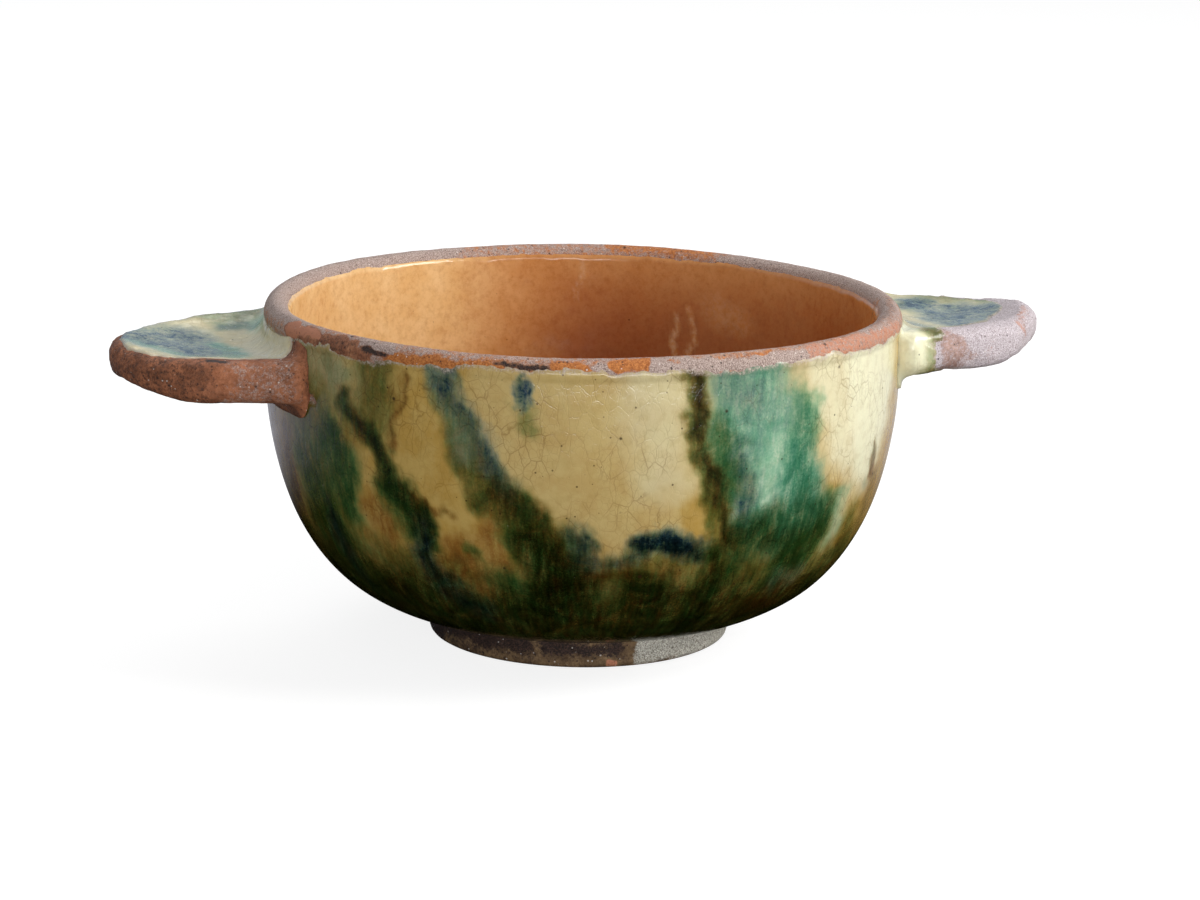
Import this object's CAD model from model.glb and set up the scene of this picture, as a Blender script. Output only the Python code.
import math

import bpy
import numpy as np
from mathutils import Matrix, Vector

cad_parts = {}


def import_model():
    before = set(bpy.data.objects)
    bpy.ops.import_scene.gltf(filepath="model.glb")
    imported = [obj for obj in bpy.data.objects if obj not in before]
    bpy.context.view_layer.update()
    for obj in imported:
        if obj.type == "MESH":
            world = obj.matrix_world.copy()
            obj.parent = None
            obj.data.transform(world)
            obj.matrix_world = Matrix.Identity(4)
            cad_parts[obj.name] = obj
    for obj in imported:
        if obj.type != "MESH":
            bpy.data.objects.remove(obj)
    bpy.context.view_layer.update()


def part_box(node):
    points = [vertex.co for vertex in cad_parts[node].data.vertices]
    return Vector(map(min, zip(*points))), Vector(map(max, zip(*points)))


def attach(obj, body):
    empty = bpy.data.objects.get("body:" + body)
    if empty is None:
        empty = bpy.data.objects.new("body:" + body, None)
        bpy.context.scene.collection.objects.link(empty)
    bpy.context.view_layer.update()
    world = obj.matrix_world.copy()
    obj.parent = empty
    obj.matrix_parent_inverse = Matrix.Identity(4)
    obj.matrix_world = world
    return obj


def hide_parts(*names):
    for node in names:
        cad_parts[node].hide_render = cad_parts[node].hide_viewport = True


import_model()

# An old glazed earthenware bowl with a turned foot and two dished lugs.
# Shapes are worked out in millimetres, and become metres when a mesh is made.
# An angle round the bowl is 0 where the bowl faces the camera and grows to the camera's right.

MM = 0.001

# Sizes, taken from the frame where it holds them
RIM_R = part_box("clay_body")[1].x / MM
BOWL_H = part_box("clay_body")[1].z / MM
FOOT_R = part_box("foot_ring")[1].x / MM
LUG_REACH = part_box("right_lug")[1].x / MM
GLAZE_T = 0.4
WALL_T = 5.1
BASE_TURN = 4.15
SIDE_STAND = 2.43
FOOT_H = 7.5
FOOT_W = 7
FOOT_TAPER = 0.9
FOOT_EDGE_R = 1.6
RECESS_H = 4.8
FLOOR_Z = 11.8
CURVE_LOW = 4.9
LIP_T = WALL_T + GLAZE_T
LIP_R = RIM_R - LIP_T / 2
LIP_Z = BOWL_H - LIP_T / 2
LIP_TURN = 31.3
WALL_R = RIM_R - GLAZE_T

# A coat of glaze dips this far under the clay where it stops, and its hidden skin lies this deep
SUNK = 0.14
SKIN_DEPTH = 0.24

LUG_X = RIM_R - 3
LUG_LEN = LUG_REACH - LUG_X
LUG_BURY = 9
LUG_W = 51
LUG_ROOT_T = 9.2
LUG_TIP_T = 7.4
LUG_DISH = 2.6
LUG_SAG = 0.7
LUG_TWIST = 0.9
ROOT_FLARE = 1.8
FLARE_LEN = 9
ROOT_TOP_R = 3.5
ROOT_UNDER_R = 3
DISH_X = LUG_X + LUG_LEN * 0.36
LEFT_DROPS = (6.8, 6.3)
RIGHT_DROPS = (3.3, 4.3)

# The photograph was taken from the front, with the bowl turned this many degrees
TURN = 12


# Noise

def lattice(cell, seed):
    """A steady random number from 0 to 1 for each whole-number place."""
    x, y, z = (cell[:, i].astype(np.uint64) for i in range(3))
    n = x * np.uint64(73856093) ^ y * np.uint64(19349663) ^ z * np.uint64(83492791)
    n = (n ^ np.uint64(seed * 2654435761 % 2**32)) * np.uint64(2246822519)
    n = (n ^ (n >> np.uint64(15))) * np.uint64(3266489917)
    return ((n ^ (n >> np.uint64(16))) & np.uint64(0xFFFFFF)).astype(float) / 0xFFFFFF


def smooth_noise(points, seed):
    """Noise from -1 to 1 whose lumps are one unit apart."""
    low = np.floor(points)
    part = points - low
    part = part ** 3 * (part * (part * 6 - 15) + 10)
    low = low.astype(np.int64) + 4096
    total = np.zeros(len(points))
    for corner in np.ndindex(2, 2, 2):
        share = np.prod(np.where(corner, part, 1 - part), axis=1)
        total += share * lattice(low + corner, seed)
    return total * 2 - 1


def lumps(points, size, seed, layers=4):
    """Layered noise from about -1 to 1 whose largest lumps are size millimetres apart."""
    total = np.zeros(len(points))
    weight = 0.5
    for layer in range(layers):
        total += weight * smooth_noise(points / size * 2 ** layer, seed + layer)
        weight /= 2
    return total * 1.6


def smoothstep(low, high, value):
    t = np.clip((value - low) / (high - low), 0, 1)
    return t * t * (3 - 2 * t)


# Painting. A stroke is a path of (across, up, width) and has a soft edge.

MM_PER_DEG = math.pi * RIM_R / 180


def wrapped(angle):
    return (angle + 180) % 360 - 180


def stroke_cover(places, path, soft, round_bowl):
    """How far a stroke covers each place, from 0 to 1."""
    path = np.array(path, float)
    middle = (path[:, 0].min() + path[:, 0].max()) / 2
    across = places[:, 0] - middle
    if round_bowl:
        across = wrapped(across) * MM_PER_DEG
    scale = MM_PER_DEG if round_bowl else 1
    spots = np.stack([across, places[:, 1]], 1)
    path[:, 0] = (path[:, 0] - middle) * scale
    if len(path) == 1:
        path = np.repeat(path, 2, 0)
    cover = np.zeros(len(places))
    for a, b in zip(path[:-1], path[1:]):
        step = b[:2] - a[:2]
        t = np.clip((spots - a[:2]) @ step / max(step @ step, 1e-9), 0, 1)
        away = np.linalg.norm(spots - a[:2] - t[:, None] * step, axis=1)
        half = (a[2] + (b[2] - a[2]) * t) / 2
        cover = np.maximum(cover, smoothstep(-soft / 2, soft / 2, half - away))
    return cover


def paint(places, start, strokes, paints, round_bowl=True):
    """Lays strokes over one another. Each paint is a tuple of amounts, one for each layer."""
    layers = np.tile(np.array(start, float), (len(places), 1))
    for name, soft, strength, path in strokes:
        cover = (stroke_cover(places, path, soft, round_bowl) * strength)[:, None]
        layers = layers * (1 - cover) + np.array(paints[name], float) * cover
    return layers


# Meshes

def ring_mesh(name, rings, start=None, end=None, joined=False, layers=None):
    """A closed skin over rings of points, with a point at each end or its last ring joined to its first."""
    count, around = rings.shape[:2]
    points = rings.reshape(-1, 3)
    first = 0
    if start is not None:
        points = np.vstack([[start], points])
        first = 1
    if end is not None:
        points = np.vstack([points, [end]])
    k, i = np.meshgrid(np.arange(count if joined else count - 1), np.arange(around), indexing="ij")
    k, i = k.ravel(), i.ravel()
    here, there = first + k * around, first + (k + 1) % count * around
    j = (i + 1) % around
    faces = np.stack([here + i, here + j, there + j, there + i], 1).tolist()
    i = np.arange(around)
    if start is not None:
        faces += np.stack([0 * i, 1 + (i + 1) % around, 1 + i], 1).tolist()
    if end is not None:
        last = first + (count - 1) * around
        faces += np.stack([last + i, last + (i + 1) % around, 0 * i + len(points) - 1], 1).tolist()
    mesh = bpy.data.meshes.new(name)
    mesh.from_pydata((points * MM).tolist(), [], faces)
    mesh.update()
    corners = np.array([f[:3] for f in faces])
    a, b, c = (points[corners[:, n]] for n in range(3))
    if np.einsum("ij,ij->i", a, np.cross(b, c)).sum() < 0:
        mesh.flip_normals()
    mesh.polygons.foreach_set("use_smooth", [True] * len(faces))
    for key, values in (layers or {}).items():
        add_layer(mesh, key, values, start is not None, end is not None)
    piece = bpy.data.objects.new(name, mesh)
    bpy.context.scene.collection.objects.link(piece)
    return piece


def add_layer(mesh, key, values, has_start, has_end):
    """Keeps painted values on a mesh's points. A point at an end takes its ring's average."""
    values = np.asarray(values, float)
    count = values.shape[-1] if values.ndim == 3 else 1
    values = values.reshape(values.shape[0], values.shape[1], count)
    flat = values.reshape(-1, count)
    if has_start:
        flat = np.vstack([values[0].mean(0)[None], flat])
    if has_end:
        flat = np.vstack([flat, values[-1].mean(0)[None]])
    if count == 1:
        mesh.attributes.new(key, "FLOAT", "POINT").data.foreach_set("value", flat.ravel())
        return
    if count == 3:
        mesh.attributes.new(key, "FLOAT_VECTOR", "POINT").data.foreach_set("vector", flat.ravel())
        return
    mesh.attributes.new(key, "FLOAT_COLOR", "POINT").data.foreach_set("color", flat.ravel())


def grid_normals(rings):
    """Unit normals of a skin of rings, each closed round."""
    round_step = np.roll(rings, -1, 1) - np.roll(rings, 1, 1)
    down_step = np.gradient(rings, axis=0)
    normals = np.cross(round_step, down_step)
    return normals / np.maximum(np.linalg.norm(normals, axis=2, keepdims=True), 1e-9)


# The turned profile

def side_at(radius, low, z):
    """Radius at height z of a turned side whose curve has its lowest point at low."""
    down = np.clip((LIP_Z - z) / (LIP_Z - low), 0, 1)
    return radius * np.maximum(0, 1 - down ** SIDE_STAND) ** (1 / BASE_TURN)


def lip_points(high, low, count):
    """Points round the lip, where 0 faces outward, 90 up and 180 inward."""
    a = np.radians(np.linspace(high, low, count))
    return np.stack([LIP_R + LIP_T / 2 * np.cos(a), LIP_Z + LIP_T / 2 * np.sin(a)], 1)


def side_points(radius, low, z_high, z_low, count):
    z = z_high - (z_high - z_low) * np.sin(np.linspace(0, math.pi / 2, count))
    return np.stack([side_at(radius, low, z), z], 1)


def spread(profile, spacing):
    """Points along a profile, spaced by spacing(length from its start, whole length)."""
    steps = np.linalg.norm(np.diff(profile, axis=0), axis=1)
    length = np.concatenate([[0], np.cumsum(steps)])
    stops = [0.0]
    while stops[-1] < length[-1]:
        stops.append(stops[-1] + spacing(stops[-1], length[-1]))
    stops = np.array(stops) * length[-1] / stops[-1]
    return np.stack([np.interp(stops, length, profile[:, i]) for i in range(2)], 1), stops


def profile_normals(profile, side):
    along = np.gradient(profile, axis=0)
    normals = np.stack([-along[:, 1], along[:, 0]], 1) * side
    return normals / np.linalg.norm(normals, axis=1, keepdims=True)


# Angles round the bowl are closer together in front, where the camera looks closest
def angles_round(count, front_share=0.62):
    """Count angles from -180 to 180 with front_share of them between -90 and 90."""
    u = (np.arange(count) + 0.5) / count * 2 - 1
    swing = (front_share - 0.5) * 2 / math.pi * 1.2
    return 180 * (u - swing * np.sin(math.pi * u))


def world_angle(angle):
    """The frame's angle in radians for an angle round the bowl."""
    return np.radians(angle - 90 - TURN)


def turned(profile, angles):
    """Rings of points for a profile of (radius, height) at the given angles round the bowl."""
    a = world_angle(angles)
    radius, height = profile[..., 0], profile[..., 1]
    return np.stack([radius * np.cos(a), radius * np.sin(a), height + 0 * a], -1)


def hand_turned(rings):
    """The same points as a hand-turned bowl has them. It only draws in, so the bowl keeps its size."""
    flat = rings.reshape(-1, 3)
    angle = np.degrees(np.arctan2(flat[:, 1], flat[:, 0])) + 90 + TURN
    high = smoothstep(15, 60, flat[:, 2])
    out = 0.5 + 0.5 * lumps(np.stack([flat[:, 0] / 2, flat[:, 1] / 2, flat[:, 2]], 1), 26, 7, 2)
    drawn = 1 - 0.0035 * np.clip(out, 0, 1) * high
    dip = 0.25 * (1 - np.cos(np.radians(angle * 2 - 60))) * high / 2
    dip += 0.22 * (1 + np.cos(np.radians(angle * 5 + 40))) * high / 2
    moved = flat.copy()
    moved[:, :2] *= drawn[:, None]
    moved[:, 2] -= dip * smoothstep(40, 66, flat[:, 2])
    return moved.reshape(rings.shape)


def fine_relief(rings, seed, large, small):
    """Small unevenness in millimetres at each point."""
    flat = rings.reshape(-1, 3)
    relief = large * lumps(flat, 9, seed, 2) + small * lumps(flat, 2.2, seed + 9, 3)
    return relief.reshape(rings.shape[:2])


# Nodes

class Shader:
    """A material's nodes, with short ways to add the kinds that the finishes use."""

    def __init__(self, name):
        self.material = bpy.data.materials.new(name)
        self.material.use_nodes = True
        self.tree = self.material.node_tree
        self.tree.nodes.clear()
        self.output = self.tree.nodes.new("ShaderNodeOutputMaterial")
        self.place = self.add("ShaderNodeTexCoord").outputs["Object"]

    def add(self, kind, inputs=None, **settings):
        node = self.tree.nodes.new(kind)
        for key, value in settings.items():
            setattr(node, key, value)
        for key, value in (inputs or {}).items():
            self.put(node.inputs[key], value)
        return node

    def put(self, socket, value):
        if isinstance(value, bpy.types.NodeSocket):
            self.tree.links.new(value, socket)
        else:
            socket.default_value = value

    def math(self, operation, a, b=0.0, c=0.0, clamp=False):
        node = self.add("ShaderNodeMath", operation=operation, use_clamp=clamp)
        for socket, value in zip(node.inputs, (a, b, c)):
            self.put(socket, value)
        return node.outputs[0]

    def vector(self, operation, a, b=(0, 0, 0), scale=None):
        node = self.add("ShaderNodeVectorMath", operation=operation)
        self.put(node.inputs[0], a)
        if scale is None:
            self.put(node.inputs[1], b)
        else:
            self.put(node.inputs["Scale"], scale)
        return node.outputs[0]

    def layer(self, name, kind="Color"):
        return self.add("ShaderNodeAttribute", attribute_name=name).outputs[kind]

    def noise(self, size, detail=3.0, rough=0.5, place=None, color=False, warp=0.0):
        """Noise with lumps size millimetres apart."""
        node = self.add("ShaderNodeTexNoise", {
            "Vector": place or self.place, "Scale": 1 / (size * MM), "Detail": detail,
            "Roughness": rough, "Distortion": warp})
        return node.outputs["Color" if color else 0]

    def cells(self, size, feature="F1", place=None, output="Distance", scatter=1.0):
        node = self.add("ShaderNodeTexVoronoi", {
            "Vector": place or self.place, "Scale": 1 / (size * MM), "Randomness": scatter},
            feature=feature)
        return node.outputs[output]

    def step(self, value, low, high, out_low=0.0, out_high=1.0):
        """value rising smoothly from out_low at low to out_high at high."""
        node = self.add("ShaderNodeMapRange", interpolation_type="SMOOTHSTEP")
        for key, number in zip(("Value", "From Min", "From Max", "To Min", "To Max"),
                               (value, low, high, out_low, out_high)):
            self.put(node.inputs[key], number)
        return node.outputs[0]

    def mix(self, factor, a, b, blend="MIX"):
        node = self.add("ShaderNodeMix", data_type="RGBA", blend_type=blend)
        for key, value in ((0, factor), (6, a), (7, b)):
            if isinstance(value, tuple) and len(value) == 3:
                value = (*value, 1.0)
            self.put(node.inputs[key], value)
        return node.outputs[2]

    def ramp(self, factor, stops):
        """Colour along stops of (place, (red, green, blue))."""
        node = self.add("ShaderNodeValToRGB", {"Fac": factor})
        elements = node.color_ramp.elements
        while len(elements) < len(stops):
            elements.new(0.5)
        for element, (place, color) in zip(elements, stops):
            element.position = place
            element.color = (*color, 1.0)
        return node.outputs[0]

    def tint(self, factor, strength, stops=7):
        """What a stain of this strength lets through as it thickens."""
        places = [i / (stops - 1) for i in range(stops)]
        return self.ramp(factor, [(t, tuple(math.exp(-k * t * 1.25) for k in strength)) for t in places])

    def stained(self, color, factor, tint):
        """The colour with a clear tint laid over it by this factor."""
        return self.mix(factor, color, self.mix(1.0, color, tint, "MULTIPLY"))

    def specks(self, size, reach, share, place=None):
        """Round specks, at most reach of a cell wide. Only this share of the cells has one."""
        node = self.add("ShaderNodeTexVoronoi", {
            "Vector": place or self.place, "Scale": 1 / (size * MM)}, feature="F1")
        chance = self.add("ShaderNodeSeparateColor", {"Color": node.outputs["Color"]}).outputs[0]
        radius = self.step(chance, 1 - share, 1.0, 0.0, reach)
        inside = self.math("SUBTRACT", radius, node.outputs["Distance"])
        return self.step(inside, 0.0, 0.06)

    def bump(self, height, strength=1.0, normal=None):
        """height is in millimetres."""
        inputs = {"Height": height, "Strength": strength, "Distance": MM}
        if normal is not None:
            inputs["Normal"] = normal
        return self.add("ShaderNodeBump", inputs).outputs[0]

    def finish(self, color, roughness, normal, **sockets):
        surface = self.add("ShaderNodeBsdfPrincipled", {
            "Base Color": color, "Roughness": roughness, "Normal": normal,
            **{key.replace("_", " "): value for key, value in sockets.items()}})
        self.put(self.output.inputs["Surface"], surface.outputs[0])
        return self.material


def srgb(red, green, blue):
    """A colour as the shader takes it, from display values of 0 to 255."""
    def plain(c):
        c /= 255
        return c / 12.92 if c <= 0.04045 else ((c + 0.055) / 1.055) ** 2.4
    return plain(red), plain(green), plain(blue)


# How much red, green and blue each stain in the glaze takes out at full strength
COPPER = (2.5, 1.08, 1.35)
IRON = (1.5, 2.4, 3.1)
BLUE_STOPS = [(0.0, srgb(150, 170, 178)), (0.35, srgb(106, 130, 144)),
              (0.7, srgb(60, 82, 104)), (1.0, srgb(34, 48, 70))]
OCHRE = srgb(193, 164, 94)
OCHRE_WARM = srgb(184, 150, 76)
CREAM = srgb(242, 240, 210)


def glaze_material(name, gloss, craze):
    """Marbled lead glaze: stains of copper, cobalt and iron that ran over a pale slip."""
    s = Shader(name)
    flow = s.vector("SCALE", s.layer("flow", "Vector"), scale=MM)
    streaked = s.vector("MULTIPLY", flow, (1, 1, 0.22))
    stains = s.layer("stains")
    veil = s.layer("stains", "Alpha")
    wear = s.layer("wear", "Fac")
    runs = s.noise(1.3, 4, 0.62, streaked, color=True)
    grain = s.noise(0.42, 2, 0.6, color=True)
    swirl = s.noise(6.5, 5, 0.6, color=True, warp=1.2)
    varied = s.vector("ADD", s.vector("SCALE", runs, scale=1.6), s.vector("SCALE", grain, scale=0.9))
    varied = s.vector("ADD", varied, s.vector("SCALE", swirl, scale=1.7))
    varied = s.vector("SUBTRACT", varied, (1.1, 1.1, 1.1))
    varied = s.vector("MAXIMUM", varied, (0.05, 0.05, 0.05))
    parts = s.add("ShaderNodeSeparateColor", {"Color": s.vector("MULTIPLY", stains, varied)})
    copper, cobalt, iron = parts.outputs
    mottle = s.noise(7, 4, 0.6)
    ground = s.mix(s.step(mottle, 0.38, 0.62), OCHRE, OCHRE_WARM)
    ground = s.mix(veil, ground, CREAM)
    ground = s.mix(s.step(s.noise(2.2, 3, 0.6), 0.45, 0.7, 0.0, 0.16), ground, srgb(150, 120, 50))
    thick = s.math("MULTIPLY", cobalt, 1.35, clamp=True)
    color = s.mix(thick, ground, s.ramp(cobalt, BLUE_STOPS))
    color = s.mix(1.0, color, s.tint(iron, IRON), "MULTIPLY")
    color = s.mix(1.0, color, s.tint(copper, COPPER), "MULTIPLY")
    # Specks of iron that boiled up out of the clay
    small = s.specks(1.5, 0.17, 0.4)
    large = s.specks(5, 0.12, 0.5)
    speck = s.math("MAXIMUM", s.math("MULTIPLY", small, 0.7), s.math("MULTIPLY", large, 0.85))
    color = s.mix(speck, color, srgb(48, 30, 16))
    # Fine cracks, denser where the glaze is pale
    bent = s.vector("ADD", flow, s.vector("SCALE", s.noise(2.4, 3, 0.6, flow, color=True), scale=0.0011))
    wide = s.cells(2.7, "DISTANCE_TO_EDGE", s.vector("MULTIPLY", bent, (1, 1, 0.6)))
    narrow = s.cells(1.15, "DISTANCE_TO_EDGE", s.vector("MULTIPLY", bent, (1, 1, 0.75)))
    lines = s.math("MAXIMUM", s.step(wide, 0.045, 0.0), s.math("MULTIPLY", s.step(narrow, 0.07, 0.0), 0.5))
    patches = s.step(s.noise(11, 2), 0.36, 0.6)
    crack = s.math("MULTIPLY", s.math("MULTIPLY", lines, patches), craze)
    color = s.stained(color, crack, srgb(150, 122, 92))
    # Worn edge where the glaze thins out on the clay
    grit = s.step(s.noise(0.5, 3, 0.7), 0.3, 0.75)
    worn = s.math("MULTIPLY", wear, s.math("ADD", grit, 0.25), clamp=True)
    color = s.mix(worn, color, s.mix(grit, srgb(120, 96, 82), srgb(196, 182, 170)))
    peel = s.math("MULTIPLY", s.noise(3.5, 2, 0.5), 0.10)
    pits = s.math("MULTIPLY", s.specks(2.1, 0.14, 0.4), -0.06)
    scratch = s.math("MULTIPLY", lines, -0.015)
    height = s.math("ADD", s.math("ADD", peel, pits), scratch)
    uneven = s.step(s.noise(1.7, 3, 0.7), 0.4, 0.75, gloss, gloss + 0.14)
    rough = s.math("ADD", uneven, s.math("MULTIPLY", worn, 0.35))
    return s.finish(color, rough, s.bump(height), IOR=1.5)


def clay_material(name, base, dark, grain_size,
                  ash_dark=srgb(118, 94, 86), ash_pale=srgb(206, 186, 176)):
    """Bare earthenware. Its painted layers are ash, rust, soot and red."""
    s = Shader(name)
    tones = s.add("ShaderNodeSeparateColor", {"Color": s.layer("tones")})
    ash, rust, soot = tones.outputs
    red = s.layer("tones", "Alpha")
    broad = s.noise(5, 4, 0.65)
    fine = s.noise(grain_size, 4, 0.72)
    finest = s.noise(grain_size * 0.45, 2, 0.7)
    color = s.mix(s.step(broad, 0.35, 0.65), base, dark)
    color = s.stained(color, s.step(fine, 0.35, 0.7, 0.0, 0.6), srgb(176, 164, 150))

    def patch(amount, noise, sharp):
        """Where a layer shows: more of it as its amount grows, broken up by the noise."""
        edge = s.math("ADD", s.math("MULTIPLY", amount, 1.0 + sharp), s.math("MULTIPLY", noise, -1.0))
        return s.step(edge, 0.0, sharp)

    red_mix = patch(red, s.noise(2.6, 3, 0.6), 0.3)
    color = s.mix(red_mix, color, s.mix(fine, srgb(176, 110, 82), srgb(200, 140, 108)))
    ash_color = s.mix(s.step(finest, 0.3, 0.72), ash_dark, ash_pale)
    color = s.mix(patch(ash, s.noise(0.8, 4, 0.75), 0.35), color, ash_color)
    rust_color = s.mix(s.step(fine, 0.3, 0.7), srgb(206, 132, 66), srgb(146, 78, 36))
    color = s.mix(patch(rust, s.noise(1.0, 4, 0.75), 0.3), color, rust_color)
    soot_color = s.mix(s.step(finest, 0.4, 0.7), srgb(34, 24, 20), srgb(86, 62, 52))
    color = s.mix(patch(soot, s.noise(0.8, 4, 0.8), 0.3), color, soot_color)
    crumbs = s.step(s.noise(0.75, 4, 0.85), 0.56, 0.66, 0.0, 0.6)
    color = s.stained(color, crumbs, srgb(128, 104, 96))
    dots = s.specks(0.9, 0.3, 0.34)
    color = s.mix(s.math("MULTIPLY", dots, 0.75), color, srgb(52, 36, 32))
    flecks = s.specks(0.8, 0.26, 0.2, s.vector("ADD", s.place, (0.013, 0.007, 0.003)))
    color = s.mix(s.math("MULTIPLY", flecks, 0.7), color, srgb(228, 218, 210))
    holes = s.specks(2.6, 0.17, 0.3)
    color = s.mix(s.math("MULTIPLY", holes, 0.7), color, srgb(40, 26, 20))
    height = s.math("ADD", s.math("MULTIPLY", fine, 0.14), s.math("MULTIPLY", finest, 0.08))
    height = s.math("ADD", height, s.math("MULTIPLY", holes, -0.2))
    height = s.math("ADD", height, s.math("MULTIPLY", s.noise(2.4, 3), 0.16))
    rough = s.step(fine, 0.3, 0.7, 0.62, 0.88)
    return s.finish(color, rough, s.bump(height, 0.9), IOR=1.45)


def orange_material(name):
    """Clear lead glaze on the red clay inside. Its painted layers are glow, depth and scum."""
    s = Shader(name)
    tones = s.add("ShaderNodeSeparateColor", {"Color": s.layer("tones")})
    glow, depth, scum = tones.outputs
    cloud = s.noise(9, 4, 0.6)
    mottle = s.noise(1.6, 4, 0.7)
    grain = s.noise(0.5, 3, 0.7)
    color = s.mix(s.step(cloud, 0.3, 0.7), srgb(206, 142, 80), srgb(190, 122, 62))
    color = s.mix(glow, color, s.mix(s.step(cloud, 0.3, 0.7), srgb(236, 200, 146), srgb(226, 182, 122)))
    color = s.mix(depth, color, srgb(158, 90, 56))
    color = s.stained(color, s.step(mottle, 0.4, 0.75, 0.0, 0.4), srgb(205, 172, 140))
    color = s.stained(color, s.step(grain, 0.45, 0.8, 0.0, 0.35), srgb(232, 206, 170))
    bubbles = s.math("MULTIPLY", scum, s.step(s.noise(1.2, 4, 0.7), 0.35, 0.7), clamp=True)
    color = s.mix(bubbles, color, srgb(216, 186, 156))
    glints = s.specks(9, 0.07, 0.3)
    color = s.mix(glints, color, srgb(246, 232, 206))
    dots = s.specks(2.4, 0.12, 0.35)
    color = s.mix(s.math("MULTIPLY", dots, 0.7), color, srgb(74, 34, 16))
    peel = s.math("MULTIPLY", s.noise(4, 2, 0.5), 0.12)
    pits = s.math("MULTIPLY", s.specks(6, 0.12, 0.4), 0.12)
    height = s.math("ADD", s.math("ADD", peel, pits), s.math("MULTIPLY", scum, 0.08))
    rough = s.step(s.noise(2, 3, 0.7), 0.4, 0.75, 0.12, 0.24)
    return s.finish(color, rough, s.bump(height), IOR=1.5)


# The strokes of the outer glaze as (paint, softness, strength, path of (angle, height, width)).
# Paints are amounts of copper, cobalt, iron and veil, where a veil of pale slip lightens the ground.

GLAZE_PAINTS = {
    "ochre": (0.0, 0.0, 0.03, 0.0),
    "sand": (0.0, 0.0, 0.01, 0.12),
    "pale": (0.02, 0.0, 0.0, 0.45),
    "mist": (0.1, 0.62, 0.02, 0.45),
    "cream": (0.02, 0.0, 0.0, 0.9),
    "dusty": (0.22, 0.03, 0.12, 0.3),
    "olive": (0.35, 0.0, 0.28, 0.0),
    "moss": (0.62, 0.0, 0.25, 0.0),
    "leaf": (0.85, 0.02, 0.2, 0.05),
    "forest": (1.0, 0.06, 0.4, 0.0),
    "teal": (0.45, 0.34, 0.0, 0.8),
    "mint": (0.3, 0.1, 0.0, 0.85),
    "jade": (0.9, 0.16, 0.05, 0.6),
    "slate": (0.2, 0.45, 0.05, 0.3),
    "navy": (0.35, 0.88, 0.15, 0.1),
    "ink": (0.6, 0.72, 0.5, 0.0),
    "umber": (0.25, 0.0, 0.75, 0.0),
    "amber": (0.02, 0.0, 0.35, 0.0),
    "tan": (0.1, 0.0, 0.24, 0.0),
    "bark": (0.6, 0.06, 0.72, 0.0),
    "bog": (0.85, 0.05, 0.75, 0.0),
}

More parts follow.
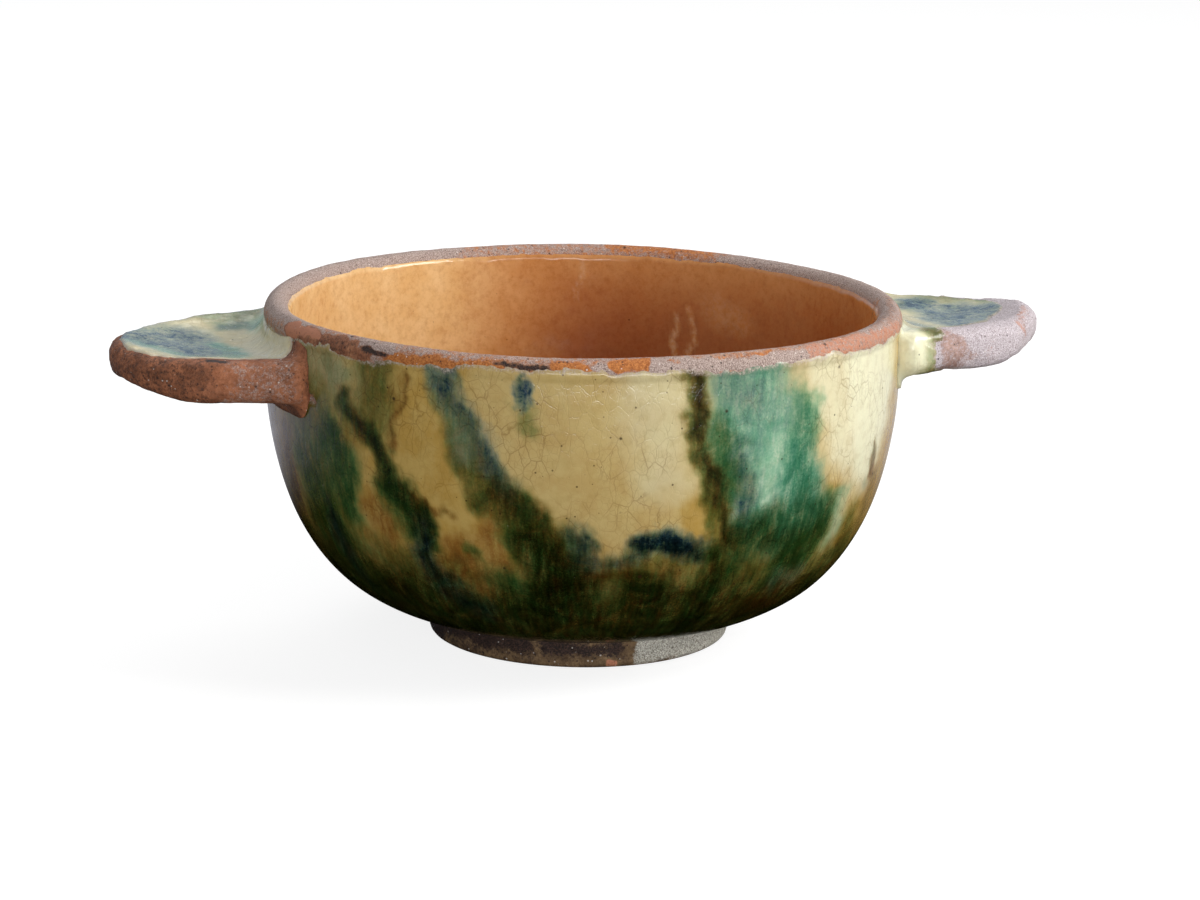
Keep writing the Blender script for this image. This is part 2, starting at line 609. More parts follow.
MARBLE = [
    # The lower part is dark all round, where the stains ran together
    ("bog", 16, 0.72, [(-95, 13, 22), (0, 12, 24), (95, 12, 20)]),
    ("bog", 16, 0.72, [(85, 12, 20), (180, 12, 22), (275, 13, 22)]),
    # Left side, from the lug to the long light finger
    ("tan", 12, 0.8, [(-78, 50, 22), (-76, 25, 26)]),
    ("dusty", 7, 0.9, [(-64, 63, 8), (-50, 63, 8), (-42, 60, 6)]),
    ("moss", 9, 0.95, [(-57, 46, 14), (-54, 32, 16), (-52, 24, 12)]),
    ("olive", 8, 0.85, [(-62, 54, 8), (-52, 54, 10), (-46, 50, 8)]),
    ("leaf", 6, 0.9, [(-48, 50, 7), (-47, 44, 8), (-45, 36, 6)]),
    ("umber", 5, 0.6, [(-66, 48, 3), (-67, 34, 5)]),
    ("olive", 7, 0.8, [(-38, 64, 8), (-37, 56, 8)]),
    ("ochre", 5, 0.6, [(-44, 60, 5), (-42, 56, 4)]),
    ("bog", 4, 0.8, [(-45, 58, 1.5), (-39, 52, 3.5), (-34, 45, 5), (-31.5, 40, 6), (-29, 35, 6),
                     (-28, 31, 4)]),
    ("forest", 5, 0.7, [(-35, 42, 6), (-31, 35, 8)]),
    ("amber", 4, 0.85, [(-39.5, 38, 4), (-37, 33, 5)]),
    ("tan", 5, 0.7, [(-42, 31, 4), (-38, 24, 4)]),
    ("ink", 4, 0.7, [(-52.5, 37, 0.5), (-52.5, 31, 5), (-52, 26, 5), (-50, 20, 3)]),
    ("ink", 4, 0.8, [(-29, 35, 3), (-30.5, 28, 4), (-27, 22, 5), (-20, 18, 5)]),
    ("umber", 2.5, 0.55, [(-31.5, 64, 1.2), (-32.5, 55, 1.2), (-33, 50, 1.5)]),
    # The long light finger
    ("ochre", 4, 0.95, [(-28, 66, 4), (-28.5, 58, 6), (-27.5, 50, 8), (-25.5, 43.5, 9), (-24.5, 42, 8)]),
    ("umber", 1.6, 0.4, [(-30, 41, 0.8), (-27, 38.3, 1), (-22, 38.3, 1)]),
    # The broad dark band that falls to the right
    ("olive", 4, 0.9, [(-23, 66, 7), (-21.5, 58, 7), (-19.5, 52, 8), (-16, 46, 9), (-13, 41, 10),
                       (-10, 36, 12)]),
    ("slate", 3.5, 0.5, [(-24, 66, 5), (-22, 58, 4), (-20, 52, 4)]),
    ("navy", 5.5, 0.62, [(-22, 65, 4.5), (-19, 59, 5), (-16.5, 55, 5.5), (-14.5, 51, 5.5), (-12, 46, 4)]),
    ("bog", 6, 0.55, [(-13, 44, 7), (-8, 38, 9), (-4, 33, 9)]),
    # The middle of the lower half
    ("amber", 5, 0.85, [(-22, 31, 6), (-20, 25, 7), (-24, 27, 6)]),
    ("amber", 4, 0.8, [(-17, 35, 3), (-15, 31, 3.5), (-13, 28, 3)]),
    ("moss", 3, 0.7, [(-19, 31, 2.5)]),
    ("leaf", 4, 0.7, [(-13, 26, 4), (-9, 22, 5)]),
    ("bog", 5, 0.85, [(-9, 33, 6), (-4, 28, 8), (0, 25, 8), (-6, 21, 7)]),
    ("ink", 4, 0.75, [(-1, 37, 4), (1, 33, 4), (1, 29, 5)]),
    ("umber", 3, 0.7, [(0, 26.5, 2.5), (10, 26.5, 2.5), (18, 27, 2)]),
    ("olive", 5, 0.8, [(9, 29, 4), (19, 29, 5), (23, 27, 5)]),
    ("amber", 3, 0.6, [(8, 29, 2), (16, 28.5, 2)]),
    ("bog", 5, 0.7, [(12, 24, 6), (17, 21, 7)]),
    ("olive", 4, 0.65, [(7, 23, 3.5), (8, 18, 3.5)]),
    ("olive", 4, 0.6, [(23, 24, 4), (22, 18, 4)]),
    # The clear ochre field in front
    ("sand", 4, 0.97, [(-12, 66, 12), (-9, 60, 18), (-5, 54, 20), (0, 48, 18), (4, 43, 16)]),
    ("sand", 4, 0.97, [(6, 66, 26), (7, 58, 28), (9, 50, 28), (11, 43, 24)]),
    ("sand", 3, 0.97, [(6, 42, 12), (6, 36, 6.5), (6.2, 33.5, 4.5)]),
    ("ochre", 2.5, 0.9, [(19, 42, 6), (20, 36.5, 3.5)]),
    ("pale", 10, 0.8, [(12, 66, 14), (13, 56, 12), (14, 48, 10)]),
    ("navy", 2.2, 0.9, [(-9.8, 66, 0.8), (-9.8, 63, 1.4), (-9.4, 60, 0.9)]),
    ("moss", 4, 0.4, [(-9.5, 60, 2), (-8.8, 56, 3)]),
    # The navy blob under it
    ("ink", 3.4, 1.0, [(11.5, 34, 4), (14, 34.5, 4.5), (18, 32.5, 4), (22, 31.5, 4.5)]),
    ("navy", 4, 0.6, [(12, 35, 2.5), (15, 35, 3), (19, 33, 2)]),
    ("ink", 4, 0.6, [(3.5, 30, 3), (8, 29.5, 2.5), (11, 31, 3)]),
    # The thin dark line and the green field on the right
    ("teal", 9, 0.9, [(29, 66, 16), (31, 58, 18), (34, 48, 20), (38, 40, 22)]),
    ("cream", 9, 0.9, [(62, 66, 26), (63, 55, 24), (62, 45, 18)]),
    ("cream", 7, 0.7, [(45, 66, 12), (49, 56, 8), (52, 47, 7)]),
    ("slate", 6, 0.45, [(26, 64, 8), (30, 62, 6)]),
    ("leaf", 7, 0.8, [(25, 55, 5), (26, 48, 7), (27, 42, 5)]),
    ("mint", 6, 0.85, [(35, 52, 5), (35, 46, 6), (34, 42, 4)]),
    ("jade", 6, 0.75, [(42, 58, 5), (42, 50, 6), (43, 42, 7)]),
    ("navy", 4.5, 0.5, [(29, 52, 2), (28.8, 46, 4), (29.8, 40, 3.5), (31, 35, 2.5)]),
    ("forest", 8, 0.85, [(34, 33, 9), (42, 33, 12), (48, 33, 12), (44, 27, 12)]),
    ("jade", 6, 0.5, [(40, 36, 6), (48, 36, 6)]),
    ("mint", 6, 0.5, [(54, 36, 5), (56, 30, 6)]),
    ("bog", 6, 0.85, [(26, 30, 5), (26, 22, 7), (27, 14, 7)]),
    ("forest", 4, 0.6, [(30, 34, 3), (31, 26, 4)]),
    ("slate", 5, 0.6, [(43, 22, 4), (49, 22, 4)]),
    ("umber", 5, 0.7, [(33, 19, 6), (42, 17, 7), (52, 17, 6)]),
    ("olive", 2.4, 0.85, [(17.2, 66.5, 1.5), (18, 60, 1.8), (19, 54, 1.6), (21, 46, 2.4), (23, 39, 3),
                          (24, 35, 2.5)]),
    ("bark", 3, 0.9, [(18.8, 66.5, 2), (19.6, 60, 2.2), (20.6, 54, 2.6), (22.2, 48, 3), (24.4, 42, 2.8),
                      (26.5, 37, 2.4), (28.5, 32, 2.2)]),
    ("olive", 6, 0.6, [(62, 30, 7), (64, 22, 7)]),
    ("umber", 2.5, 0.7, [(65.5, 45, 1.2), (67, 40, 2)]),
    ("tan", 5, 0.8, [(69, 38, 4), (69, 28, 6)]),
    ("slate", 3, 0.4, [(65, 37, 2.5)]),
    ("slate", 1.5, 0.8, [(-26, 67, 1.6), (-21, 66.6, 1.6)]),
    ("bog", 14, 0.28, [(-70, 22, 18), (-30, 20, 14), (0, 20, 12), (30, 20, 14), (64, 16, 10)]),
    # The back, where the same stains run the same way
    ("cream", 14, 0.6, [(88, 60, 20), (104, 56, 24)]),
    ("olive", 6, 0.8, [(84, 62, 3), (88, 50, 5), (93, 38, 9), (98, 26, 10)]),
    ("teal", 8, 0.8, [(108, 62, 8), (110, 50, 12), (112, 38, 16)]),
    ("leaf", 6, 0.8, [(112, 56, 5), (114, 44, 8), (116, 32, 10)]),
    ("navy", 4, 0.7, [(119, 65, 3), (121, 56, 4), (124, 46, 5), (128, 36, 4)]),
    ("moss", 6, 0.8, [(133, 40, 8), (137, 30, 12), (142, 20, 12)]),
    ("umber", 3, 0.7, [(131, 66, 1.5), (133, 56, 2), (136, 46, 3), (141, 36, 3)]),
    ("forest", 7, 0.7, [(150, 34, 10), (158, 26, 12)]),
    ("ink", 4, 0.8, [(152, 40, 4), (157, 37, 5), (163, 34, 4)]),
    ("olive", 5, 0.8, [(168, 66, 5), (170, 56, 7), (173, 46, 10), (177, 34, 12)]),
    ("navy", 4, 0.75, [(171, 66, 3), (173, 58, 4), (176, 50, 5), (180, 42, 4)]),
    ("leaf", 6, 0.8, [(186, 50, 5), (188, 40, 9), (190, 28, 12)]),
    ("amber", 5, 0.7, [(196, 40, 6), (199, 30, 8)]),
    ("slate", 4, 0.7, [(205, 64, 2), (206, 56, 3), (208, 50, 3)]),
    ("bog", 6, 0.8, [(206, 34, 10), (214, 28, 12)]),
    ("dusty", 8, 0.7, [(222, 64, 10), (228, 60, 10)]),
    ("leaf", 6, 0.85, [(222, 54, 5), (225, 44, 9), (228, 32, 12)]),
    ("umber", 3, 0.7, [(232, 66, 1.6), (234, 54, 2.4), (238, 42, 3.4)]),
    ("moss", 8, 0.8, [(246, 52, 8), (250, 38, 14), (252, 26, 14)]),
    ("navy", 4, 0.7, [(258, 44, 3), (260, 34, 5), (262, 26, 4)]),
]

# Where the glaze stops below the lip, as (angle, height)
GLAZE_TOP = [(-180, 66.8), (-150, 67.4), (-120, 66.4), (-98, 67.2), (-80, 66), (-62, 66.2), (-55, 66.8),
             (-47, 67.2), (-38, 66.6), (-30, 66.4), (-20, 67.5), (0, 67.8), (14, 67.6), (22, 66.9),
             (30, 66.8), (40, 67.3), (50, 67.4), (60, 66.6), (78, 66.4),
             (100, 67.2), (130, 66.5), (155, 67.3), (180, 66.8)]

# Chips and worn places in the outer glaze, as paths of (angle, height, width)
CHIPS = [
    (1.2, [(-57, 67.6, 1.4), (-52, 67.3, 1.8)]),
    (1.0, [(-48, 67.0, 2.2), (-44, 66.8, 3.0), (-41, 67.0, 2.4)]),
    (0.8, [(-68, 58.5, 1.0), (-62, 57.6, 1.6), (-56, 56.2, 1.8), (-52, 54.6, 1.2)]),
]


def outer_profile():
    """The clay's outside from the top of the lip down to the foot."""
    lip = lip_points(62, -LIP_TURN, 60)
    side = side_points(WALL_R, CURVE_LOW, lip[-1, 1], FOOT_H + 0.02, 400)[1:]
    under = np.stack([np.linspace(side[-1, 0] - 0.15, FOOT_R - 0.8, 30), np.full(30, FOOT_H)], 1)
    return np.vstack([lip, side, under])


def slimmed(profile):
    """The clay lies a little inside the frame, so the glaze that climbs the lip stays inside its box."""
    near_lip = smoothstep(45, 62, profile[:, 1])
    moved = profile.copy()
    moved[:, 0] -= 0.38 * near_lip * smoothstep(LIP_R - 1, LIP_R + 2.2, profile[:, 0])
    return moved


def places_round(rings, angles):
    """Angle and height of each point, as an array for painting."""
    heights = rings[..., 2].ravel()
    return np.stack([np.broadcast_to(angles, rings.shape[:2]).ravel(), heights], 1)


def bent_places(places, rings, amount, size, seed):
    """Places shifted by noise, so that painted edges wander."""
    flat = rings.reshape(-1, 3)
    shift = np.stack([lumps(flat, size, seed, 4) / MM_PER_DEG, lumps(flat, size, seed + 50, 4)], 1)
    return places + amount * shift


def flow_layer(angles, stops):
    """Places unrolled from the wall: round a cylinder, and the length run down from the lip."""
    a = world_angle(angles)
    count = len(stops)
    return np.stack([np.tile(RIM_R * np.cos(a), (count, 1)), np.tile(RIM_R * np.sin(a), (count, 1)),
                     np.tile(-stops[:, None], (1, len(angles)))], -1)


def marbled_coat():
    angles = angles_round(720)
    profile, stops = spread(slimmed(outer_profile()), lambda at, whole: 0.42 if at < 13 else 0.9)
    normals = profile_normals(profile, 1)
    base = turned(profile[:, None, :], angles[None, :])
    outward = turned(normals[:, None, :], angles[None, :])
    places = places_round(base, angles)
    shape = base.shape[:2]
    height = base[..., 2]
    top = np.interp(angles, *np.array(GLAZE_TOP).T)[None, :]
    flat = base.reshape(-1, 3)
    ragged = (0.8 * lumps(flat, 5, 21, 3) + 0.5 * lumps(flat, 1.6, 22, 3)).reshape(shape)
    inside = top - height + ragged
    chipped = bent_places(places, base, 1.2, 4, 31)
    bare = np.zeros(shape)
    for soft, path in CHIPS:
        bare = np.maximum(bare, stroke_cover(chipped, path, soft, True).reshape(shape))
    inside = np.minimum(inside, 1.2 - 2.2 * bare)
    low_edge = base[..., 0] ** 2 + base[..., 1] ** 2
    inside = np.minimum(inside, np.sqrt(low_edge) - (FOOT_R + 0.35) + 0.5 * ragged)
    body = GLAZE_T * 0.8 + 0.05 * lumps(flat, 14, 23, 2).reshape(shape)
    body = np.minimum(body, 0.14 + 0.3 * smoothstep(67, 57, height))
    lift = -SUNK + (body + SUNK) * smoothstep(-0.25, 0.45, inside)
    outer = hand_turned(base + outward * lift[..., None])
    inner = hand_turned(base - outward * SKIN_DEPTH)
    rows = np.unique(np.linspace(0, len(stops) - 1, 14).round().astype(int))
    rings = np.concatenate([outer, inner[rows[::-1]]])
    painted = bent_places(places, base, 1.9, 9, 41)
    painted = bent_places(painted, base, 1.0, 2.8, 43)
    painted = bent_places(painted, base, 0.4, 1.0, 47)
    stains = paint(painted, GLAZE_PAINTS["ochre"], MARBLE, GLAZE_PAINTS).reshape(*shape, 4)
    wear = smoothstep(0.9, 0.1, inside)
    layers = {"stains": stains, "wear": wear, "flow": flow_layer(angles, stops)}
    layers = {key: np.concatenate([layer, layer[rows[::-1]]]) for key, layer in layers.items()}
    return ring_mesh("marbled_coat", rings, joined=True, layers=layers)


# Amounts of ash, rust, soot and red on bare clay
CLAY_PAINTS = {
    "ash": (0.85, 0.05, 0.15, 0.0),
    "pale_ash": (1.0, 0.0, 0.05, 0.0),
    "rust": (0.25, 0.8, 0.15, 0.0),
    "soot": (0.1, 0.1, 0.9, 0.0),
    "brown": (0.05, 0.1, 0.45, 0.1),
    "red": (0.05, 0.05, 0.05, 1.0),
    "pink": (0.45, 0.35, 0.0, 0.8),
    "mixed": (0.6, 0.45, 0.3, 0.0),
}

# The lip, as (tone, softness, strength, path of (angle, distance out from the crown, width))
LIP = [
    ("pale_ash", 2, 0.9, [(-150, 0, 7), (-110, 0, 7), (-80, -0.5, 5), (-60, -0.5, 4)]),
    ("red", 1.2, 0.95, [(-63, 2.5, 3), (-56, 3, 4), (-51, 3, 2.5)]),
    ("brown", 1.2, 0.9, [(-58, 4, 2), (-52, 4, 2)]),
    ("brown", 1.2, 0.95, [(-50, 3.5, 4), (-45, 3.5, 5), (-40, 3.5, 4)]),
    ("ash", 1.2, 0.7, [(-40, 2, 3), (-34, 2, 2.5)]),
    ("soot", 1, 0.6, [(-40, 2.6, 1.2), (-35, 3, 1.6)]),
    ("rust", 1.2, 0.95, [(-34, 3.6, 2), (-24, 3.4, 2.6), (-14, 3.2, 2.8)]),
    ("mixed", 1.2, 0.7, [(-24, 1.8, 1.6), (-10, 2, 2)]),
    ("soot", 1.4, 0.62, [(-14.6, 2.6, 1), (-11, 2.8, 1.2)]),
    ("soot", 1.4, 0.62, [(-10, 3.2, 1), (-7, 3.2, 1.2), (-4, 3, 0.9)]),
    ("rust", 1, 0.85, [(-4, 2.6, 2), (3.5, 2.6, 2)]),
    ("ash", 1, 0.7, [(3, 2.4, 2), (5.2, 2.4, 2)]),
    ("rust", 1, 0.85, [(5.6, 2, 2.4), (7.4, 2, 2.4)]),
    ("rust", 1, 0.85, [(9.4, 2.2, 2.6), (11.6, 2.2, 2.6)]),
    ("ash", 1.2, 0.9, [(13, 2.6, 3.4), (22, 2.6, 3.4), (31, 2.6, 3.2)]),
    ("rust", 1, 0.6, [(15, 1.6, 1), (17, 1.6, 1)]),
    ("rust", 1, 0.5, [(23, 1.2, 1), (34, 1.2, 1)]),
    ("pale_ash", 1.2, 0.9, [(32, 2.8, 2.4), (42, 2.8, 2.4)]),
    ("pink", 2, 0.9, [(43, 2.2, 4), (60, 2.4, 4.4), (76, 2.6, 5)]),
    ("ash", 1.6, 0.8, [(62, -0.6, 2.6), (80, -0.4, 3), (96, 0, 4)]),
    ("soot", 1.5, 0.35, [(64, -0.5, 2), (84, 0, 2.4), (110, 0, 3)]),
    ("ash", 3, 0.6, [(100, 0, 7), (150, 0, 7)]),
    ("rust", 3, 0.35, [(150, 0, 5), (174, 0, 5)]),
]


def thrown_body():
    angles = angles_round(640)
    inner = side_points(WALL_R - WALL_T, FLOOR_Z, LIP_Z, FLOOR_Z, 300)[::-1]
    inner = inner[inner[:, 0] > 0.5]
    lip = lip_points(180, -LIP_TURN, 160)
    side = side_points(WALL_R, CURVE_LOW, lip[-1, 1], FOOT_H + 0.02, 300)[1:]
    foot_in = FOOT_R - FOOT_W
    under = np.array([[foot_in + 0.3, FOOT_H], [foot_in, FOOT_H - 0.3], [foot_in, RECESS_H + 0.4],
                      [foot_in - 0.4, RECESS_H], [foot_in / 2, RECESS_H], [1.0, RECESS_H]])
    profile = np.vstack([inner, lip, side, under])
    crown = len(inner) + np.argmax(lip[:, 1])
    steps = np.concatenate([[0], np.cumsum(np.linalg.norm(np.diff(profile, axis=0), axis=1))])
    crown_at = steps[crown]
    profile, stops = spread(slimmed(profile), lambda at, whole: 0.36 if -6 < at - crown_at < 13 else 2.2)
    out = stops - crown_at
    base = turned(profile[:, None, :], angles[None, :])
    normal = turned(profile_normals(profile, 1)[:, None, :], angles[None, :])
    on_lip = np.exp(-((out - 1) / 7) ** 4)[:, None]
    relief = fine_relief(base, 61, 0.05, 0.07) * on_lip - 0.05 * on_lip
    rings = hand_turned(base + normal * relief[..., None])
    places = np.stack([np.tile(angles, len(out)), np.repeat(out, len(angles))], 1)
    places = bent_places(places, base, 0.9, 3, 63)
    tones = paint(places, CLAY_PAINTS["mixed"], LIP, CLAY_PAINTS).reshape(*base.shape[:2], 4)
    return ring_mesh("thrown_body", rings, start=(0, 0, FLOOR_Z), end=(0, 0, RECESS_H),
                     layers={"tones": tones})


# The glaze inside, as (tone, softness, strength, path of (angle, height, width))
INSIDE_PAINTS = {
    "plain": (0.25, 0.2, 0.0, 0.0),
    "glow": (0.95, 0.0, 0.0, 0.0),
    "deep": (0.0, 0.85, 0.0, 0.0),
    "haze": (0.3, 0.3, 0.3, 0.0),
    "scum": (0.4, 0.2, 1.0, 0.0),
}

INSIDE = [
    ("glow", 30, 0.95, [(-140, 60, 40), (-100, 55, 60), (-70, 55, 60)]),
    ("deep", 22, 0.9, [(176, 46, 26), (160, 48, 24), (140, 50, 20), (110, 50, 24)]),
    ("haze", 5, 0.7, [(152, 58, 5), (144, 56, 6)]),
    ("scum", 1.2, 1.0, [(160.5, 54, 0.9), (161.5, 48, 1.3), (160, 44, 1.1), (161.5, 36, 1.2)]),
    ("scum", 1.2, 0.9, [(157.5, 57, 0.8), (156.5, 50, 1.1), (158, 46, 1.0), (157, 38, 1.1)]),
    ("scum", 1.0, 0.5, [(181, 66, 0.6), (180, 61, 0.8), (181, 57, 0.7)]),
]


def orange_coat():
    angles = angles_round(540, 0.5)
    inner = side_points(WALL_R - WALL_T, FLOOR_Z, LIP_Z, FLOOR_Z, 400)
    inner = inner[inner[:, 0] > 1.0]
    profile = np.vstack([lip_points(118, 180, 40)[:-1], inner])
    profile, stops = spread(profile, lambda at, whole: 0.5 if at < 9 else 1.4)
    normals = profile_normals(profile, -1)
    base = turned(profile[:, None, :], angles[None, :])
    inward = turned(normals[:, None, :], angles[None, :])
    flat = base.reshape(-1, 3)
    ragged = (0.3 * lumps(flat, 5, 71, 3) + 0.22 * lumps(flat, 1.5, 72, 3)).reshape(base.shape[:2])
    inside = stops[:, None] - 2.2 + ragged
    body = GLAZE_T * 0.85 + 0.06 * lumps(flat, 18, 73, 3).reshape(base.shape[:2])
    lift = -SUNK + (body + SUNK) * smoothstep(-0.25, 0.4, inside)
    outer = hand_turned(base + inward * lift[..., None])
    inner_skin = hand_turned(base - inward * SKIN_DEPTH)
    rows = np.unique(np.linspace(0, len(stops) - 1, 12).round().astype(int))
    rings = np.concatenate([outer[::-1], inner_skin[rows]])
    places = bent_places(places_round(base, angles), base, 2.0, 10, 75)
    tones = paint(places, INSIDE_PAINTS["plain"], INSIDE, INSIDE_PAINTS).reshape(*base.shape[:2], 4)
    tones = np.concatenate([tones[::-1], tones[rows]])
    return ring_mesh("orange_coat", rings, start=(0, 0, FLOOR_Z + GLAZE_T * 0.8), end=(0, 0, FLOOR_Z - 0.2),
                     layers={"tones": tones})


# The foot, as (tone, softness, strength, path of (angle, height, width))
FOOT = [
    ("soot", 5, 0.5, [(-90, 5, 8), (-50, 5, 8), (-20, 5, 6)]),
    ("ash", 2, 0.3, [(-60, 2, 3), (-20, 1.5, 3)]),
    ("soot", 3, 0.5, [(-12, 4.5, 3), (5, 3.8, 2), (16, 4.2, 2)]),
    ("mixed", 2, 0.4, [(-14, 1.5, 3), (10, 1.5, 3)]),
    ("pale_ash", 9, 1.0, [(24, 3, 5), (42, 4, 7), (80, 4, 8)]),
    ("red", 1, 0.8, [(12, 0.8, 1.6), (15, 0.8, 1.6)]),
    ("soot", 9, 0.4, [(105, 4, 6), (145, 4, 6)]),
    ("ash", 9, 0.4, [(165, 3, 6), (215, 3, 6)]),
]


def turned_foot():
    angles = angles_round(480)
    low_r = FOOT_R - FOOT_TAPER
    in_r = FOOT_R - FOOT_W
    round_out = [(low_r - FOOT_EDGE_R * (1 - math.cos(t)), FOOT_EDGE_R * (1 - math.sin(t)))
                 for t in np.linspace(0, math.pi / 2, 14)]
    round_in = [(in_r + FOOT_EDGE_R * (1 - math.cos(t)), FOOT_EDGE_R * (1 - math.sin(t)))
                for t in np.linspace(math.pi / 2, 0, 14)]
    profile = np.array([(in_r, FOOT_H), (FOOT_R, FOOT_H)] + round_out + round_in + [(in_r, FOOT_H - 0.02)])
    profile, stops = spread(profile, lambda at, whole: 0.5)
    base = turned(profile[:, None, :], angles[None, :])
    normal = turned(profile_normals(profile, 1)[:, None, :], angles[None, :])
    show = smoothstep(0.3, 2, base[..., 2]) * smoothstep(FOOT_H, FOOT_H - 1, base[..., 2])
    relief = (fine_relief(base, 81, 0.16, 0.1) - 0.12) * show
    rings = base + normal * relief[..., None]
    places = bent_places(places_round(base, angles), base, 1.0, 4, 83)
    tones = paint(places, CLAY_PAINTS["brown"], FOOT, CLAY_PAINTS).reshape(*base.shape[:2], 4)
    return ring_mesh("turned_foot", rings, joined=True, layers={"tones": tones})


# The lugs

def lug_grid(drops):
    """Rings over a lug, from the middle of its dish over the edge to the middle of its underside.

    Also gives each ring's place: how far in millimetres each point lies outside the dished top's rim.
    """
    around = 280
    a = np.radians(np.arange(around) * 360 / around)
    reach = np.where(np.cos(a) > 0, LUG_LEN, LUG_BURY)
    outline = np.stack([LUG_X + reach * np.cos(a), LUG_W / 2 * np.sin(a)], 1)
    tip = np.maximum(0, np.cos(a)) ** 2
    edge_z = BOWL_H - drops[0] * tip - drops[1] * (1 - tip)
    edge_z = edge_z - 4 * LUG_SAG * tip * (1 - tip) - LUG_TWIST / 2 * np.sin(a)
    edge_t = LUG_TIP_T * tip + LUG_ROOT_T * (1 - tip)
    dish_z = BOWL_H - sum(drops) / 2 - LUG_DISH
    middle_t = (LUG_ROOT_T + LUG_TIP_T - LUG_DISH) / 2
    span = np.linalg.norm(outline - (DISH_X, 0), axis=1)
    flat = 1 - edge_t / 2 / span
    rings, beyond = [], []

    def add(share, z, side, past):
        x = DISH_X + (outline[:, 0] - DISH_X) * share
        near = 1 - np.clip((x - LUG_X) / FLARE_LEN, 0, 1)
        y = outline[:, 1] * share * (1 + 2 * ROOT_FLARE / LUG_W * near ** 2)
        away = np.hypot(x, y) - WALL_R
        radius = np.clip(LIP_Z - z, 0, ROOT_TOP_R) if side > 0 else np.full(around, ROOT_UNDER_R)
        inner = radius - np.minimum(radius, np.maximum(0, away))
        z = z + side * (radius - np.sqrt(radius ** 2 - inner ** 2))
        rings.append(np.stack([x, y, z], 1))
        beyond.append(past + 0 * a)

    for k in np.linspace(0.02, 1, 52):
        add(k * flat, dish_z + (edge_z - dish_z) * k * k, 1, (k - 1) * flat * span)
    for turn in np.radians(np.linspace(90, -90, 34)[1:-1]):
        across, up = abs(math.cos(turn)) ** 0.75, math.copysign(abs(math.sin(turn)) ** 0.75, turn)
        past = edge_t / 2 * (math.pi / 2 - turn)
        add(flat + (1 - flat) * across, edge_z - edge_t / 2 * (1 - up), up, past)
    under = dish_z - middle_t
    for k in np.linspace(1, 0.02, 36):
        past = edge_t / 2 * math.pi + (1 - k) * flat * span
        add(k * flat, under + (edge_z - edge_t - under) * k * k, -1, past)
    return np.array(rings), np.array(beyond), (dish_z, under)


def seat_in_wall(rings):
    """Draws the buried end of a lug up to a line inside the wall."""
    radius = np.hypot(rings[..., 0], rings[..., 1])
    seat = LIP_R + 0.1
    short = (radius < seat) & (np.abs(rings[..., 1]) < seat)
    x = np.sqrt(np.maximum(seat ** 2 - rings[..., 1] ** 2, 0))
    rings[..., 0] = np.where(short, x, rings[..., 0])
    return rings


def half_turn(rings):
    return rings * np.array([-1, -1, 1])


def lug_shape(drops, seed):
    """A lug's rings with its hand-made unevenness, its normals and how far each point is past its top."""
    rings, beyond, middles = lug_grid(drops)
    normals = -grid_normals(rings)
    if normals[0, :, 2].mean() < 0:
        normals = -normals
    flat = rings.reshape(-1, 3)
    on_edge = smoothstep(-2, 1, beyond) * smoothstep(16, 10, beyond)
    relief = 0.36 * lumps(flat, 10, seed, 2) + 0.1 * lumps(flat, 2.5, seed + 5, 3)
    grain = 0.24 * lumps(flat * (1, 1, 2), 3.6, seed + 8, 4).reshape(beyond.shape)
    relief = relief.reshape(beyond.shape) + on_edge * grain
    relief -= 0.2
    rings = rings + normals * relief[..., None]
    rings[..., 0] = np.minimum(rings[..., 0], LUG_REACH - 0.03)
    rings = seat_in_wall(rings)
    return rings, normals, beyond, middles


# On a lug a place is its distance out from the bowl's middle and how far it lies to the front.
# The strokes are (tone, softness, strength, path of (out, to the front, width)).

LEFT_TOP = [
    ("mist", 6, 0.9, [(90, -4, 14), (82, -6, 16), (78, 6, 12)]),
    ("teal", 4, 0.5, [(90, 0, 3), (82, 8, 3), (76, 14, 3)]),
    ("dusty", 6, 0.9, [(72, -20, 8), (66, -22, 8)]),
    ("slate", 4, 0.85, [(72, -14, 4), (67, -15, 5), (63, -12, 3)]),
    ("mint", 5, 0.6, [(64, -16, 5), (62, -8, 5)]),
    ("pale", 5, 0.9, [(70, -2, 6), (66, 4, 9), (66, 14, 8)]),
    ("teal", 4, 0.7, [(74, -2, 4), (72, 6, 4), (72, 14, 4)]),
    ("umber", 1.5, 0.5, [(64, 2, 0.8), (62, 4, 0.8)]),
]
LEFT_EDGE = [
    ("brown", 6, 0.5, [(90, 10, 8), (78, 24, 10)]),
    ("ash", 6, 0.5, [(74, 22, 6), (68, 26, 9), (64, 26, 8)]),
    ("soot", 1.2, 0.9, [(77, 20, 1.6), (75, 21, 1.4)]),
]
RIGHT_TOP = [
    ("mist", 5, 0.9, [(74, 6, 16), (82, 2, 18), (76, -12, 10)]),
    ("navy", 5, 0.4, [(70, -10, 5), (76, -16, 5)]),
    ("dusty", 4, 0.9, [(80, -18, 5), (88, -12, 6), (92, -4, 5)]),
    ("olive", 3, 0.6, [(84, -16, 3), (89, -9, 3)]),
    ("ochre", 1.5, 0.95, [(86.5, 9, 3.4), (87.5, 7, 3)]),
    ("pale", 3, 0.9, [(66, -8, 4), (69, 2, 4), (72, 14, 4), (72, 20, 4)]),
    ("cream", 4, 0.9, [(62, 24, 16), (66, 26, 12)]),
    ("olive", 3, 0.9, [(65, 24, 3), (70, 24, 4)]),
]
